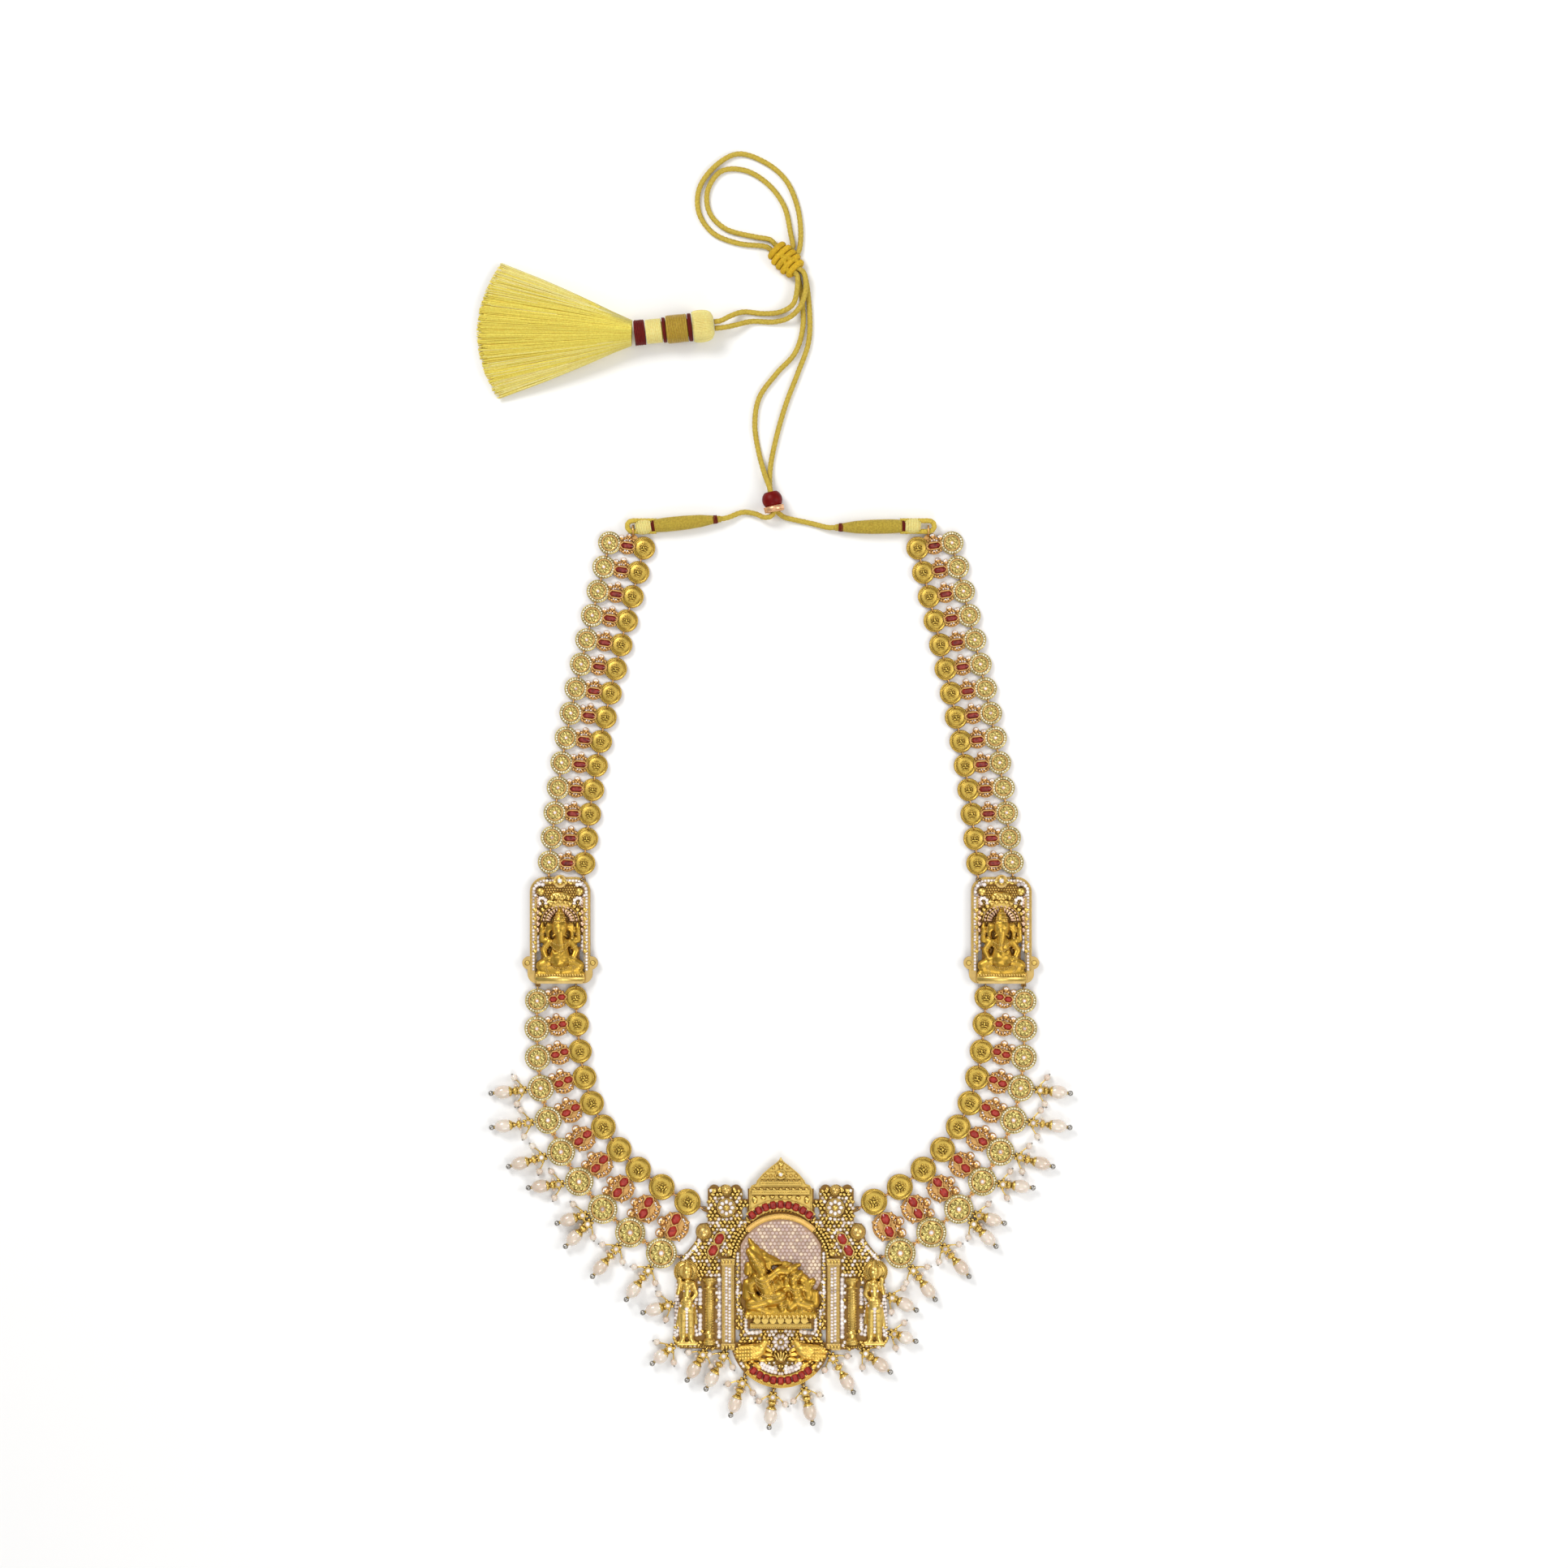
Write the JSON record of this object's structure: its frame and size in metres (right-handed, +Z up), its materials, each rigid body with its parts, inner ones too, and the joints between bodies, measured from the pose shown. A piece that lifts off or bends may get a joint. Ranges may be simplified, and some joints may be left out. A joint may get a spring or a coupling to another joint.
{
  "type": "long necklace",
  "caption": "Long temple necklace of jointed stone-set links with two figure plaques, a large pierced pendant, pearl drops, and a silk cord with sliding bead, knotted loop and tassel.",
  "frame": {"origin": "on the surface, under the centre of the metal necklace's box; the cord, its bead, knot and tassel are not counted", "axes": "+Z up from the surface to the necklace's front; +Y from the pendant towards the cord; +X to the right as seen from the front"},
  "size_m": [0.22, 0.473, 0.012],
  "materials": {
    "antique_gold": "antique matte gold plating with darker recesses",
    "ruby_glass": "cut and polished",
    "clear_pave": "small clear stones set close in pale metal",
    "pearl": "pearly",
    "silk_cord": "twisted silk cord",
    "red_bead": "polished",
    "tassel_silk": "silk thread",
    "dark_thread": "wound thread",
    "gold_thread": "wound metallic thread"
  },
  "bodies": {
    "root": {"chain_upper_left": "antique_gold", "chain_upper_right": "antique_gold", "chain_lower_left": "antique_gold", "chain_lower_right": "antique_gold", "stones_upper_left": "ruby_glass", "stones_upper_right": "ruby_glass", "stones_lower_left": "ruby_glass", "stones_lower_right": "ruby_glass", "plaque_left": "antique_gold", "plaque_right": "antique_gold", "figure_left": "antique_gold", "figure_right": "antique_gold", "pendant_frame": "antique_gold", "finial": "antique_gold", "arch_stones": "ruby_glass", "arch_band": "antique_gold", "pave_screen": "clear_pave", "deity_group": "antique_gold", "pedestal": "antique_gold", "pillar_left": "antique_gold", "pillar_right": "antique_gold", "attendant_left": "antique_gold", "attendant_right": "antique_gold", "bird_left": "antique_gold", "bird_right": "antique_gold", "crescent": "antique_gold", "crescent_stones": "ruby_glass", "side_stones": "ruby_glass", "drops_left": "antique_gold", "drops_right": "antique_gold", "drops_pendant": "antique_gold", "pearls_left": "pearl", "pearls_right": "pearl", "pearls_pendant": "pearl", "eye_wrap_left": "silk_cord", "eye_wrap_right": "silk_cord", "lead_left": "silk_cord", "lead_right": "silk_cord", "loop_outer": "silk_cord", "loop_inner": "silk_cord", "tail_upper": "silk_cord", "tail_lower": "silk_cord", "slider_bead": "red_bead", "slider_cap": "antique_gold", "knot": "silk_cord", "tassel_cap": "tassel_silk", "tassel_ties": "dark_thread", "tassel_gold_band": "gold_thread", "tassel_collar": "tassel_silk", "tassel_fringe": "tassel_silk"}
  },
  "joints": []
}
